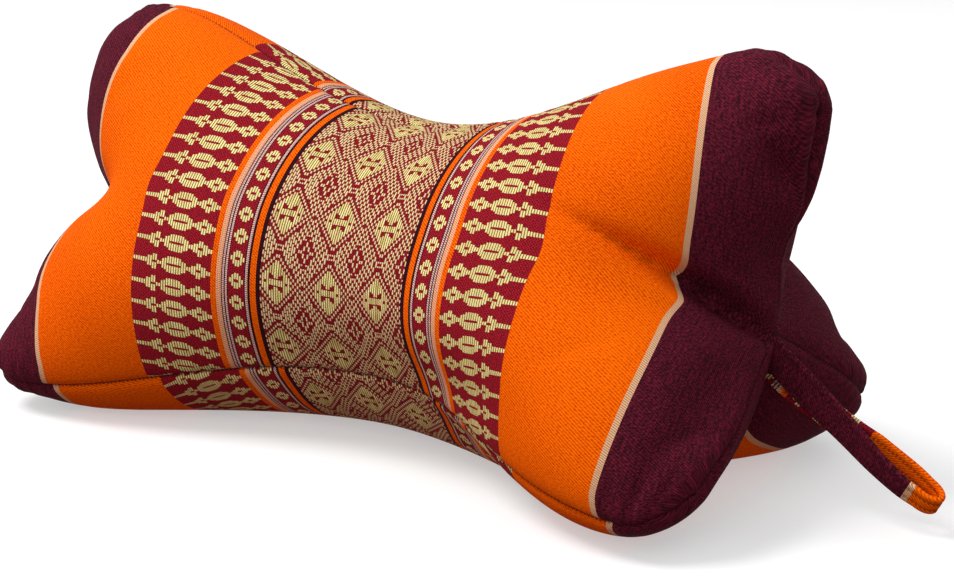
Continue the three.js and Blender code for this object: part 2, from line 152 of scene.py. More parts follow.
class Shell:
    """The three panels' grids with their edges sewn: a seam's two sides share their vertices."""

    def __init__(self, rows, columns):
        self.rows, self.columns = rows, columns
        s, t = np.meshgrid(np.linspace(-1, 1, rows + 1), np.linspace(-1, 1, columns + 1), indexing="ij")
        self.s, self.t = s, t
        self.u, self.v = cloth_point(s, t)
        size = s.size
        own = np.arange(len(PANELS) * size).reshape(len(PANELS), rows + 1, columns + 1)
        shared = own.copy()
        middle = columns // 2
        for panel in PANELS:
            before = (panel - 1) % len(PANELS)
            shared[panel, :, 0] = own[before, :, columns]
            for end in (0, rows):
                shared[panel, end, :middle] = own[before, end, columns:middle:-1]
                shared[panel, end, middle] = own[0, end, middle]
        known, inverse = np.unique(shared, return_inverse=True)
        self.grid = inverse.reshape(shared.shape)
        self.count = len(known)
        self.faces = self._faces()

    def corners(self, *values):
        """Values on one panel's grid by its quads' corners, in the order of its faces."""
        left = np.arange(self.rows)[:, None] < self.rows / 2
        low = np.arange(self.columns)[None, :] < self.columns / 2
        turned = (left != low).ravel()
        place = np.stack(values, -1)
        quads = np.stack([place[:-1, :-1], place[1:, :-1], place[1:, 1:], place[:-1, 1:]], 2)
        quads = quads.reshape(-1, 4, len(values))
        quads[turned] = np.roll(quads[turned], -1, axis=1)
        return quads

    def _faces(self):
        return np.concatenate([self.corners(g)[..., 0] for g in self.grid])

    def gather(self, values):
        """A value for each vertex from values on the panels' grids, averaged where they meet."""
        flat = self.grid.ravel()
        total = np.bincount(flat, np.asarray(values, float).ravel(), self.count)
        return total / np.bincount(flat, minlength=self.count)

    def threads(self):
        """Groups of threads that share few vertices, each as long as the flat cloth."""
        groups = []
        for kind, offsets in enumerate((((1, 0), (0, 1)), ((1, 1), (1, -1)), ((2, 0), (0, 2)))):
            for down, across in offsets:
                for parity in (0, 1):
                    groups.append(self._thread_group(down, across, parity, kind))
        return groups

    def _thread_group(self, down, across, parity, kind):
        n, m = self.u.shape
        i = np.arange(0, n - down)
        j = np.arange(max(0, -across), m - max(0, across))
        i, j = np.meshgrid(i, j, indexing="ij")
        along = i if down else j
        chosen = (along // (2 if kind == 2 else 1)) % 2 == parity
        i, j = i[chosen], j[chosen]
        du = self.u[i, j] - self.u[i + down, j + across]
        dv = self.v[i, j] - self.v[i + down, j + across]
        a = self.grid[:, i, j].ravel()
        b = self.grid[:, i + down, j + across].ravel()
        length = np.tile(np.hypot(du, dv), len(PANELS))
        pair = np.minimum(a, b) * self.count + np.maximum(a, b)
        _, first = np.unique(pair, return_index=True)
        first = first[a[first] != b[first]]
        a, b, length = a[first], b[first], length[first]
        meets = np.bincount(a, minlength=self.count) + np.bincount(b, minlength=self.count)
        return a, b, length, kind, (0.5 / meets[a])[:, None], (0.5 / meets[b])[:, None]


def scatter(count, index, vectors):
    return np.stack([np.bincount(index, vectors[:, axis], count) for axis in range(3)], axis=1)


def area_vectors(points, faces):
    """Each vertex's share of the outward face areas."""
    a, b, c, d = (points[faces[:, k]] for k in range(4))
    share = np.cross(c - a, d - b) / 8
    return sum(scatter(len(points), faces[:, k], share) for k in range(4))


def start_shape(shell):
    """A loose three-sided bolster for the settling to start from."""
    end = np.abs(shell.s) ** START_END_POWER
    spread = np.where(shell.t == 0, 0, np.abs(shell.t) ** np.maximum(1 - end, 1e-9))
    lobe = 1 + START_LOBE * np.abs(shell.s) ** 3 * shell.t**2
    radius = START_RADIUS * np.sqrt(np.maximum(1 - end * (1 - shell.t**2), 0)) * lobe
    axes = []
    for panel in PANELS:
        facing = math.pi / 6 - panel * 2 * math.pi / 3
        angle = facing - np.sign(shell.t) * spread * math.pi / 3
        x = shell.s * START_HALF_LENGTH
        axes.append(np.stack([x, radius * np.cos(angle), radius * (np.sin(angle) + 1)], -1))
    places = np.stack(axes)
    return np.stack([shell.gather(places[..., axis]) for axis in range(3)], axis=1)


def settle(shell, points, steps):
    """Fills the shell and lets it come to rest on the floor."""
    groups = shell.threads()
    speed = np.zeros_like(points)
    for _ in range(steps):
        areas = area_vectors(points, shell.faces)
        push = PRESSURE / np.linalg.norm(areas, axis=1).mean()
        after = points + speed * DAMPING + push * areas
        after[:, 2] -= WEIGHT
        for _ in range(PASSES):
            for a, b, length, kind, share_a, share_b in groups:
                gap = after[b] - after[a]
                now = np.sqrt((gap * gap).sum(1)) + 1e-9
                strain = (now - length) / now
                move = (strain * np.where(strain > 0, PULL[kind], PUSH[kind]))[:, None] * gap
                after += scatter(shell.count, a, move * share_a) - scatter(shell.count, b, move * share_b)
        after[:, 2] = np.maximum(after[:, 2], 0)
        speed = after - points
        points = after
    return points


def refine(shell, points, finer):
    """Positions on a grid twice as fine, halfway between those of the settled one."""
    result = []
    for panel in PANELS:
        places = points[shell.grid[panel]]
        rows = np.zeros((2 * shell.rows + 1, shell.columns + 1, 3))
        rows[::2] = places
        rows[1::2] = (places[1:] + places[:-1]) / 2
        both = np.zeros((2 * shell.rows + 1, 2 * shell.columns + 1, 3))
        both[:, ::2] = rows
        both[:, 1::2] = (rows[:, 1:] + rows[:, :-1]) / 2
        result.append(both)
    places = np.stack(result)
    return np.stack([finer.gather(places[..., axis]) for axis in range(3)], axis=1)


def smooth(shell, points, share, rounds):
    """Evens the points out by the given share at each vertex."""
    a, b = shell.faces, np.roll(shell.faces, -1, axis=1)
    start, stop = np.concatenate([a.ravel(), b.ravel()]), np.concatenate([b.ravel(), a.ravel()])
    meets = np.bincount(start, minlength=shell.count)[:, None]
    for _ in range(rounds):
        mean = scatter(shell.count, start, points[stop]) / meets
        points = points + share[:, None] * (mean - points)
    return points


def soften_corners(shell, points, rounds):
    x = np.clip((np.minimum(np.abs(shell.s), np.abs(shell.t)) - CORNER_FROM) / (1 - CORNER_FROM), 0, 1)
    near = x * x * (3 - 2 * x)
    return smooth(shell, points, shell.gather(np.stack([near] * len(PANELS))), rounds)


def trough_depth(shell, panel):
    depth = np.zeros_like(shell.u)
    for rows, power in ((TROUGHS, 2), (CREASES, 1)):
        for place, u, v, length, width, deep, turn in rows:
            if place == panel:
                c, s = math.cos(math.radians(turn)), math.sin(math.radians(turn))
                along = ((shell.u - u) * c + (shell.v - v) * s) / length
                across = ((shell.v - v) * c - (shell.u - u) * s) / width
                depth += deep * np.exp(-(along**2) - np.abs(across) ** power)
    return depth


def edge_distance(shell):
    """Flat distance of each grid place from its panel's nearest sewn edge, side edge and end edge."""
    _, edge_v = cloth_point(shell.s, np.sign(shell.t) + (shell.t == 0))
    side = np.abs(edge_v) - np.abs(shell.v)
    edge_u, _ = cloth_point(np.sign(shell.s) + (shell.s == 0), shell.t)
    end = np.abs(edge_u) - np.abs(shell.u)
    return np.minimum(side, end), side, end


def press_in(shell, points):
    """Presses the troughs, the seams' channels and their small puckers into the cloth."""
    near, side, end = edge_distance(shell)
    channel = SEAM_DEPTH * np.exp(-near / SEAM_WIDTH)
    run = np.where(side < end, shell.u, shell.v)
    drift = PITCH_DRIFT * np.sin(run / PITCH_DRIFT_LENGTH)
    wave = 0.5 + 0.5 * np.sin(2 * math.pi * run / PUCKER_PITCH + drift)
    uneven = 0.5 + 0.5 * np.sin(run / DEPTH_DRIFT_LENGTH + DEPTH_DRIFT_START)
    reach = np.exp(-(((near - PUCKER_FROM_SEAM) / PUCKER_REACH) ** 2))
    tip_u = (np.abs(shell.u) - TIP_AT[0]) / TIP_REACH[0]
    tip_v = (np.abs(shell.v) - TIP_AT[1]) / TIP_REACH[1]
    tip = np.exp(-(tip_u**2) - tip_v**2)
    pucker = (PUCKER_DEPTH * uneven + TIP_PUCKER_DEPTH * tip) * wave * reach
    depths = np.stack([trough_depth(shell, panel) + channel + pucker for panel in PANELS])
    depth = shell.gather(depths)
    areas = area_vectors(points, shell.faces)
    normals = areas / np.linalg.norm(areas, axis=1)[:, None]
    free = np.clip(points[:, 2] / FREE_HEIGHT, 0, 1)
    moved = points - normals * (depth * free)[:, None]
    moved[:, 2] = np.maximum(moved[:, 2], 0)
    return moved


def make_shell():
    """The settled cover on its finest grid, in millimetres."""
    shell, points = None, None
    for rows, columns, steps in GRIDS:
        finer = Shell(rows, columns)
        points = start_shape(finer) if shell is None else refine(shell, points, finer)
        points = settle(finer, points, steps)
        shell = finer
    points = soften_corners(shell, points, CORNER_ROUNDS)
    for _ in range(FINER):
        finer = Shell(shell.rows * 2, shell.columns * 2)
        points = refine(shell, points, finer)
        points = smooth(finer, points, np.full(finer.count, EVEN_SHARE), EVEN_ROUNDS)
        shell = finer
    points = press_in(shell, points)
    low, high = (np.array(corner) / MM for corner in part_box("cushion"))
    shift = (low + high) / 2 - (points.min(0) + points.max(0)) / 2
    points[:, :2] += shift[:2]
    return shell, points


# The cloth's stripes, from the middle of the panel outwards, in millimetres of u.
STRIPES = dict(central=33.0, orange_1=34.8, orange_2=37.3, pale_1=38.3, pale_2=39.3, ovals_1=39.8,
               ovals_2=46.4, pale_3=46.8, pale_4=47.6, pale_5=48.1, pale_6=48.9, cream=49.3,
               orange_3=51.3, khit=53.6, orange_4=86.4, peach_1=134.0, peach_2=136.5)
# How the cut of each panel is shifted along the cloth, so that the bands miss each other at seams.
PANEL_SHIFT = {BACK: (2.5, 3.1), UNDERSIDE: (-7.5, 5.2), FRONT: (-3.0, 0.0)}
# How far the bands bow near the ends over the panel's width, and more at the middle crease.
BOW_MIDDLE = 4.5
BOW_HALF_WIDTH = 60
BOW_CREASE = 4.0
BOW_CREASE_WIDTH = 10
# The end without the loop bows this much more.
BOW_LEFT = 6.0


def woven_places(shell, panel):
    """Where each grid place lies in the weave: the filling bows the bands towards the ends."""
    near_end = np.clip(np.abs(shell.u) / STRIPES["peach_1"], 0, 1) ** 2
    crown = 1 - (shell.v / BOW_HALF_WIDTH) ** 2
    bow = BOW_MIDDLE * np.maximum(crown, -1)
    bow = bow + BOW_CREASE * np.exp(-((shell.v / BOW_CREASE_WIDTH) ** 2))
    bow = bow + BOW_LEFT * (shell.u < 0) * near_end * np.maximum(crown, 0)
    u = shell.u - np.sign(shell.u) * near_end * bow
    shift_u, shift_v = PANEL_SHIFT[panel]
    return (u + shift_u) * MM, (shell.v + shift_v) * MM


def seam_places(shell):
    """How far each grid place lies from the nearest seam, and how far along it, in metres."""
    near, side, end = edge_distance(shell)
    return np.maximum(near, 0) * MM, np.where(side < end, shell.u, shell.v) * MM


def new_object(name, vertices, faces, corner_uvs=(), smooth_faces=True):
    mesh = bpy.data.meshes.new(name)
    mesh.from_pydata([tuple(p) for p in vertices], [], [tuple(int(i) for i in f) for f in faces])
    for layer_name, places in zip(("weave", "seams"), corner_uvs):
        layer = mesh.uv_layers.new(name=layer_name)
        layer.data.foreach_set("uv", np.asarray(places, np.float32).ravel())
    mesh.polygons.foreach_set("use_smooth", [smooth_faces] * len(mesh.polygons))
    mesh.update()
    piece = bpy.data.objects.new(name, mesh)
    bpy.context.scene.collection.objects.link(piece)
    return piece


def make_cover():
    shell, points = make_shell()
    weave = [shell.corners(*woven_places(shell, panel)) for panel in PANELS]
    seams = [shell.corners(*seam_places(shell)) for _ in PANELS]
    corner_uvs = np.concatenate(weave), np.concatenate(seams)
    cover = new_object("cover", points * MM, shell.faces, corner_uvs)
    return cover, shell, points


class Value:
    """A number in a node tree, so that patterns are written as sums."""

    def __init__(self, tree, socket):
        self.tree, self.socket = tree, socket

    def _math(self, operation, *others):
        node = self.tree.nodes.new("ShaderNodeMath")
        node.operation = operation
        for place, item in zip(node.inputs, (self, *others)):
            if isinstance(item, Value):
                self.tree.links.new(item.socket, place)
            else:
                place.default_value = item
        return Value(self.tree, node.outputs[0])

    def __add__(self, other):
        return self._math("ADD", other)

    def __sub__(self, other):
        return self._math("SUBTRACT", other)

    def __mul__(self, other):
        return self._math("MULTIPLY", other)

    def __truediv__(self, other):
        return self._math("DIVIDE", other)

    def __gt__(self, other):
        return self._math("GREATER_THAN", other)

    def __lt__(self, other):
        return self._math("LESS_THAN", other)

    def minus_from(self, number):
        return self * -1.0 + number

    def abs(self):
        return self._math("ABSOLUTE")

    def floor(self):
        return self._math("FLOOR")

    def fract(self):
        return self._math("FRACT")

    def mod(self, number):
        return self._math("FLOORED_MODULO", number)

    def ping(self, number):
        return self._math("PINGPONG", number)

    def least(self, other):
        return self._math("MINIMUM", other)

    def most(self, other):
        return self._math("MAXIMUM", other)

    def clamped(self):
        return self.most(0.0).least(1.0)

    def between(self, low, high):
        return (self > low) * (self < high)


# A float's width along u, and the step of its ends along v.
THREAD = 1.01
PICK = 0.56
# A table's ramp holds its numbers as shares of this one.
TABLE_UNIT = 10.0


class Weave:
    """The cotton's material: bands over the cloth's own coordinates, thread by thread."""

    def __init__(self, name):
        self.material = bpy.data.materials.new(name)
        self.material.use_nodes = True
        self.tree = self.material.node_tree
        self.shader = self.tree.nodes["Principled BSDF"]
        self.uv, self.u, self.v = self.places("weave")
        _, self.near_seam, self.along_seam = self.places("seams")

    def places(self, name):
        """A UV map's socket and its two numbers, in millimetres."""
        coords = self.tree.nodes.new("ShaderNodeUVMap")
        coords.uv_map = name
        split = self.tree.nodes.new("ShaderNodeSeparateXYZ")
        self.tree.links.new(coords.outputs[0], split.inputs[0])
        u, v = (Value(self.tree, split.outputs[k]) * 1000.0 for k in (0, 1))
        return coords.outputs[0], u, v

    def color(self, rgb):
        node = self.tree.nodes.new("ShaderNodeRGB")
        node.outputs[0].default_value = (*rgb, 1)
        return node.outputs[0]

    def mix(self, base, other, share):
        node = self.tree.nodes.new("ShaderNodeMix")
        node.data_type = "RGBA"
        if isinstance(share, Value):
            self.tree.links.new(share.socket, node.inputs[0])
        else:
            node.inputs[0].default_value = share
        self.tree.links.new(base, node.inputs[6])
        self.tree.links.new(other, node.inputs[7])
        return node.outputs[2]

    def noise(self, across, along, detail=2.0, roughness=0.5):
        """Noise over the cloth, with its grain this many times a metre across and along."""
        scale = self.tree.nodes.new("ShaderNodeVectorMath")
        scale.operation = "MULTIPLY"
        self.tree.links.new(self.uv, scale.inputs[0])
        scale.inputs[1].default_value = (across, along, 1)
        node = self.tree.nodes.new("ShaderNodeTexNoise")
        node.inputs["Scale"].default_value = 1.0
        node.inputs["Detail"].default_value = detail
        node.inputs["Roughness"].default_value = roughness
        self.tree.links.new(scale.outputs[0], node.inputs["Vector"])
        return Value(self.tree, node.outputs[0])

    def table(self, place, rows):
        """Pairs of numbers by whole steps of place, read from a stepped ramp."""
        node = self.tree.nodes.new("ShaderNodeValToRGB")
        ramp = node.color_ramp
        ramp.interpolation = "CONSTANT"
        while len(ramp.elements) < len(rows):
            ramp.elements.new(0.5)
        for k, (first, second) in enumerate(rows):
            ramp.elements[k].position = k / len(rows)
            ramp.elements[k].color = (first / TABLE_UNIT, second / TABLE_UNIT, 0, 1)
        share = place / float(len(rows))
        self.tree.links.new(share.socket, node.inputs[0])
        split = self.tree.nodes.new("ShaderNodeSeparateColor")
        self.tree.links.new(node.outputs[0], split.inputs[0])
        first, second = (Value(self.tree, split.outputs[k]) * TABLE_UNIT for k in (0, 1))
        return first, second


# The khit motif thread by thread, from the inside of its band outwards: each pair says from which
# pick to which pick the pale weft floats, counted from the motif's middle line.
KHIT = (
    (0, 1.3), (0, 1.5), (0, 3.3), (0, 3.3), (0.9, 5.1), (0.9, 5.1), (0, 3.0), (0, 2.7), (0, 1.5), (0, 1.2),
    (0, 3.3), (0, 3.9), (0.7, 5.3), (0.8, 5.6), (0.8, 5.6), (0.8, 5.6), (0.8, 5.6), (0.7, 5.3), (0, 3.9),
    (0, 3.3), (0, 1.0), (0, 1.2), (0.8, 5.2), (0.8, 5.2), (0, 3.4), (0, 3.4),
    (0, 1.5), (0, 1.5), (0, 1.4), (0, 1.4), (0, 1.3), (0, 1.2),
)
# The small oval in the same way.
OVAL = ((0, 1.4), (0, 3.8), (1, 5.2), (1, 5.2), (0, 3.8), (0, 1.4))
# The ovals start this far into their stripe, and both motifs repeat over this length of v.
OVAL_ASIDE = 0.2
MOTIF_REPEAT = 8.5

# The yarns' colours, and what is mixed into them.
CREAM = (0.92, 0.78, 0.33)
GOLD = (0.54, 0.37, 0.11)
ROSE = (0.78, 0.52, 0.32)
# The dark between the floats: partly the dark ground showing between them, partly painted shade in the
# gaps.
OLIVE_GAP_AND_SHADE = (0.040, 0.016, 0.006)
CRIMSON = (0.43, 0.012, 0.024)
DARK = (0.028, 0.005, 0.009)
BROWN = (0.15, 0.030, 0.012)
PINK = (0.84, 0.54, 0.48)
ORANGE = (1.0, 0.158, 0.0006)
ORANGE_RED = (0.52, 0.035, 0.0004)
PEACH = (0.86, 0.52, 0.30)
AUBERGINE = (0.034, 0.0050, 0.011)
AUBERGINE_RED = (0.205, 0.015, 0.036)

# The middle band's lattice: threads and picks from a flower's middle to the next diamond's middle.
FLOWER_THREADS = 11.5
FLOWER_PICKS = 24.0
FLOWER_ASIDE = 3.5
# A quarter of a flower, from its middle, x in threads and y in millimetres: a float lies between two
# values of x, above a line of y and below one. Each line is given by its start and its rise with x.
FLOWER = (
    (-1.0, 2.0, 1.3, 1.1, 8.5, -0.9), (2.0, 3.0, 3.5, 0.0, 6.3, 0.0), (3.0, 5.0, 0.45, 0.0, 8.7, -1.3),
    (5.0, 6.0, 0.45, 0.0, 1.8, 0.0), (-1.0, 3.0, -1.0, 0.0, 1.0, 0.0),
)
# Between its floats a flower's middle is bare up to this thread and this height.
FLOWER_BARE = (3.0, 3.5)
# How far out from a flower the lattice's lines lie and its own field ends: 0 at its middle, and 2 at
# the next diamond's.
LATTICE_LINES = ((0.86, 0.97), (1.56, 1.70), (1.9, 2.1))
FLOWER_FIELD = 0.9

# The pitches, along v and along u, of the ground's slant, the twisted lines and the twill.
SLANT_PITCH = 1.15
TWIST_PITCH = (0.8, 1.5)
TWILL_PITCH = (1.1, 1.6)

# The seam's fold, painted dark as shade in its crease, and its dark stitches: how far they reach, and the
# stitches' pitch and length.
FOLD_SHADE_REACH = 0.35
STITCH_REACH = 0.75
STITCH_PITCH = 1.7
STITCH_SHARE = 0.45

ROUGHNESS = 0.82
SPECULAR = 0.03
BUMP_STRENGTH = 0.7
BUMP_HEIGHT = 0.0003


def flower_lattice(thread, pick):
    """The middle band: where its ground shows between the pale floats, and where its flowers are."""
    x = (thread + FLOWER_ASIDE).ping(FLOWER_THREADS)
    row = (pick + 0.5).ping(FLOWER_PICKS)
    y = row * PICK
    out = x / FLOWER_THREADS + row / FLOWER_PICKS
    flower = None
    for first, last, low, low_rise, high, high_rise in FLOWER:
        petal = x.between(first, last) * ((y - x * low_rise) > low) * ((y - x * high_rise) < high)
        flower = petal if flower is None else flower.most(petal)
    line = None
    for low, high in LATTICE_LINES:
        line = out.between(low, high) if line is None else line.most(out.between(low, high))
    bare = (x < FLOWER_BARE[0]) * (y < FLOWER_BARE[1])
    twill_gap = (row + x * 3.0).mod(5.0) < 1.6
    open_gap = (row + x * 2.0).mod(4.0) < 1.9
    around = (out < FLOWER_FIELD) * open_gap.most(bare)
    gap = line.most(twill_gap * (out > FLOWER_FIELD)).most(around)
    return gap * flower.minus_from(1.0), flower


def motif_row(weave, ground, pale, place, chart):
    """A row of like motifs over the ground, its floats as the chart has them."""
    from_middle = ((weave.v / MOTIF_REPEAT).fract() - 0.5).abs() * (MOTIF_REPEAT / PICK)
    inner, outer = weave.table(place, chart)
    # Each float turns dark at its edges: partly the ground between floats, partly painted shade in the
    # gaps.
    float_over_gap_shade = ((place.fract() - 0.5).abs() * -6.0 + 2.5).clamped()
    pale = weave.mix(weave.color(OLIVE_GAP_AND_SHADE), pale, float_over_gap_shade)
    in_row = place.between(0.0, float(len(chart)))
    return weave.mix(ground, pale, (from_middle > inner) * (from_middle < outer) * in_row)


def patterned_bands(weave, out, speckle, float_over_gap_shade):
    """The middle band, the khit band and the row of ovals."""
    # Their ground is crimson with dark threads showing through on the slant.
    along, across = weave.u / SLANT_PITCH, weave.v / SLANT_PITCH
    slant = ((across + along).fract() < 0.5) * ((across - along).fract() < 0.55)
    dark_share = (slant * 0.75 + (speckle * 2.4 - 0.95)).clamped()
    ground = weave.mix(weave.color(CRIMSON), weave.color(DARK), dark_share)

    bright = (weave.noise(500, 160, 1.0) * 2.4 - 0.5).clamped()
    gap, flower = flower_lattice((weave.u / THREAD).floor(), (weave.v / PICK).floor())
    pale = weave.mix(weave.color(GOLD), weave.color(CREAM), bright)
    pale = weave.mix(weave.mix(weave.color(ROSE), pale, 0.35), pale, flower)
    # The floats' edges darken with painted gap shade and the dark ground between them.
    pale = weave.mix(weave.color(OLIVE_GAP_AND_SHADE), pale, float_over_gap_shade)
    central = weave.mix(pale, weave.mix(ground, weave.color(DARK), 0.22), gap)

    pale_khit = weave.mix(weave.color(GOLD), weave.color(CREAM), bright * 0.6 + 0.4)
    khit_thread = (STRIPES["orange_4"] - STRIPES["khit"]) / len(KHIT)
    khit = motif_row(weave, ground, pale_khit, (out - STRIPES["khit"]) / khit_thread, KHIT)
    oval_place = (out - STRIPES["ovals_1"] - OVAL_ASIDE) / THREAD
    ovals = motif_row(weave, ground, weave.color(CREAM), oval_place, OVAL)
    return central, khit, ovals


def plain_cloth(weave, twill):
    """The orange and the aubergine fields."""
    grain = weave.noise(800, 1400, 1.0)
    cloud = weave.noise(11, 11, 3.0)
    tone = (twill * 1.1 + cloud * 0.9 + grain * 1.8 - 1.28).clamped()
    orange = weave.mix(weave.color(ORANGE_RED), weave.color(ORANGE), tone)
    streak = weave.noise(1000, 130, 4.0, 0.65)
    red_share = ((streak - 0.42) * 1.5 + (grain - 0.42) * 2.2 + (twill - 0.5) * 0.35).clamped()
    aubergine = weave.mix(weave.color(AUBERGINE), weave.color(AUBERGINE_RED), red_share)
    return orange, weave.mix(aubergine, weave.color(DARK), (twill < 0.4) * 0.3)


def khit_cotton(name, fold_shade_and_stitch_strength):
    weave = Weave(name)
    out = weave.u.abs()
    speckle = weave.noise(1500, 2600, 1.0)
    thread_edge = ((weave.u / THREAD).fract() - 0.5).abs() * 2.0
    # Each thread's float turns dark at its edges: partly the ground between floats, partly painted shade in
    # the gaps.
    float_over_gap_shade = ((thread_edge - 0.82) * -3.0).clamped()
    twill = ((weave.v / TWILL_PITCH[0] + weave.u / TWILL_PITCH[1]).fract() - 0.5).abs() * 2.0
    central, khit, ovals = patterned_bands(weave, out, speckle, float_over_gap_shade)
    orange, aubergine = plain_cloth(weave, twill)

    dark = weave.color(DARK)
    twist = (weave.v / TWIST_PITCH[0] + out / TWIST_PITCH[1]).fract() < 0.55
    pale_line = weave.mix(weave.color(BROWN), weave.color(PINK), twist * 0.85 + 0.15)
    cream_line = weave.mix(weave.color(ORANGE_RED), weave.color(PEACH), twist * 0.6 + 0.3)
    peach_line = weave.mix(weave.color(BROWN), weave.color(PEACH), twist * 0.6 + 0.38)
    bands = dict(central=dark, orange_1=orange, orange_2=dark, pale_1=pale_line, pale_2=dark,
                 ovals_1=ovals, ovals_2=dark, pale_3=pale_line, pale_4=dark, pale_5=pale_line,
                 pale_6=dark, cream=cream_line, orange_3=orange, khit=khit, orange_4=orange,
                 peach_1=peach_line, peach_2=aubergine)
    color = central
    for stripe, band in bands.items():
        color = weave.mix(color, band, out > STRIPES[stripe])

    # Painted shade: the seam's fold is darkened as shade in its crease. The stitches beside it are dark
    # thread.
    painted_fold_shade = weave.near_seam < FOLD_SHADE_REACH
    stitch = (weave.near_seam < STITCH_REACH) * ((weave.along_seam / STITCH_PITCH).fract() < STITCH_SHARE)
    fold_shade_and_stitches = painted_fold_shade.most(stitch)
    color = weave.mix(color, dark, fold_shade_and_stitches * fold_shade_and_stitch_strength)
    weave.tree.links.new(color, weave.shader.inputs["Base Color"])
    weave.shader.inputs["Roughness"].default_value = ROUGHNESS
    weave.shader.inputs["Specular IOR Level"].default_value = SPECULAR

    # Relief: floats stand over the ground, every band has its fine thread, and the seam is sunk.
    patterned = out < STRIPES["orange_4"]
    relief = float_over_gap_shade * 0.6 * patterned + twill * 0.5 + speckle * 0.6 - fold_shade_and_stitches * 1.2
    bump = weave.tree.nodes.new("ShaderNodeBump")
    bump.inputs["Strength"].default_value = BUMP_STRENGTH
    bump.inputs["Distance"].default_value = BUMP_HEIGHT
    weave.tree.links.new(relief.socket, bump.inputs["Height"])
    weave.tree.links.new(bump.outputs[0], weave.shader.inputs["Normal"])
    return weave.material


# The carrying loop, from the end's centre: how far out and down, how far apart the middles of its
# two runs lie, its width, and how far it is turned from level.
LOOP_PATH = (
    (-12, -6, 2.7, 10, 95), (0, 7, 2.7, 11.5, 93), (15, 19.2, 2.8, 12.4, 90), (31, 30.6, 4.2, 11.2, 86),
    (44, 39.2, 8.2, 10.0, 80), (55, 45.8, 9.8, 9.0, 76), (62, 49.8, 8.2, 8.4, 74),
)
LOOP_THICKNESS = 2.2
LOOP_TIP = 6.2
# The front run starts in the plain end of the cloth, this far past the peach line.
LOOP_PEACH_AT = 74.0
# The back run lies a little lower at the root, where its edge shows, and has closed in by this share
# of its length.
LOOP_ASIDE = 7.5
LOOP_ASIDE_UNTIL = 0.62
# Steps along a run and round the tip. A run starts at its first step, a little inside the cover.
RUN_STEPS = 90
FIRST_STEP = 14
BEND_STEPS = 28
# The band's round edges, and the stitched groove this far in from where they begin.
BAND_RIM = 0.8
HEM_IN = 1.6
HEM_DEPTH = 0.3
HEM_WIDTH = 0.5
# Where the band's middle line lies across the weave.
BAND_V = 2.1


def catmull_rom(rows, share):
    """A smooth row between the table's rows, evenly along their numbers, and its slope."""
    rows = np.asarray(rows, float)
    last = len(rows) - 1
    at = share * last
    k = min(int(at), last - 1)
    w = at - k
    before = rows[k - 1] if k > 0 else 2 * rows[k] - rows[k + 1]
    after = rows[k + 2] if k + 2 <= last else 2 * rows[k + 1] - rows[k]
    a, b = rows[k], rows[k + 1]
    ta, tb = (b - before) / 2, (after - a) / 2
    value = (2 * w**3 - 3 * w**2 + 1) * a + (w**3 - 2 * w**2 + w) * ta
    value = value + (3 * w**2 - 2 * w**3) * b + (w**3 - w**2) * tb
    slope = (6 * w**2 - 6 * w) * (a - b) + (3 * w**2 - 4 * w + 1) * ta + (3 * w**2 - 2 * w) * tb
    return value, slope


def loop_route(end_centre):
    """Middle, width direction and width of the band, from one end round the tip to the other."""
    def place(share, side, beyond):
        (out, down, apart, width, turn), slope = catmull_rom(LOOP_PATH, share)
        outward = Vector((slope[0], 0, -slope[1])).normalized()
        across = Matrix.Rotation(math.radians(-turn), 3, outward) @ Vector((0, 1, 0))
        across = (across - outward * across.dot(outward)).normalized()
        middle = end_centre + Vector((out, 0, -down)) + outward * beyond
        middle += outward.cross(across) * (side * apart / 2)
        return middle, across, width

    shares = [k / RUN_STEPS for k in range(FIRST_STEP, RUN_STEPS)]
    route = []
    for share in shares:
        middle, across, width = place(share, 1, 0)
        aside = LOOP_ASIDE * max(1 - share / LOOP_ASIDE_UNTIL, 0)
        route.append((middle + across * aside, across, width))
    for k in range(BEND_STEPS + 1):
        angle = math.pi * k / BEND_STEPS
        route.append(place(1, math.cos(angle), LOOP_TIP * math.sin(angle)))
    route += [place(share, -1, 0) for share in reversed(shares)]
    return route


def band_section():
    """The band's section, anticlockwise: shares of the half width and of the half thickness."""
    flat = np.linspace(1, -1, 9)
    rim = [(math.cos(a), math.sin(a)) for a in np.linspace(0, math.pi, 5)[1:-1]]
    top = [(side, 1.0, 0.0) for side in flat]
    bottom = [(-side, -1.0, 0.0) for side in flat]
    left = [(-1.0, c, s) for c, s in rim]
    right = [(1.0, -c, s) for c, s in rim]
    return top + left + bottom + right


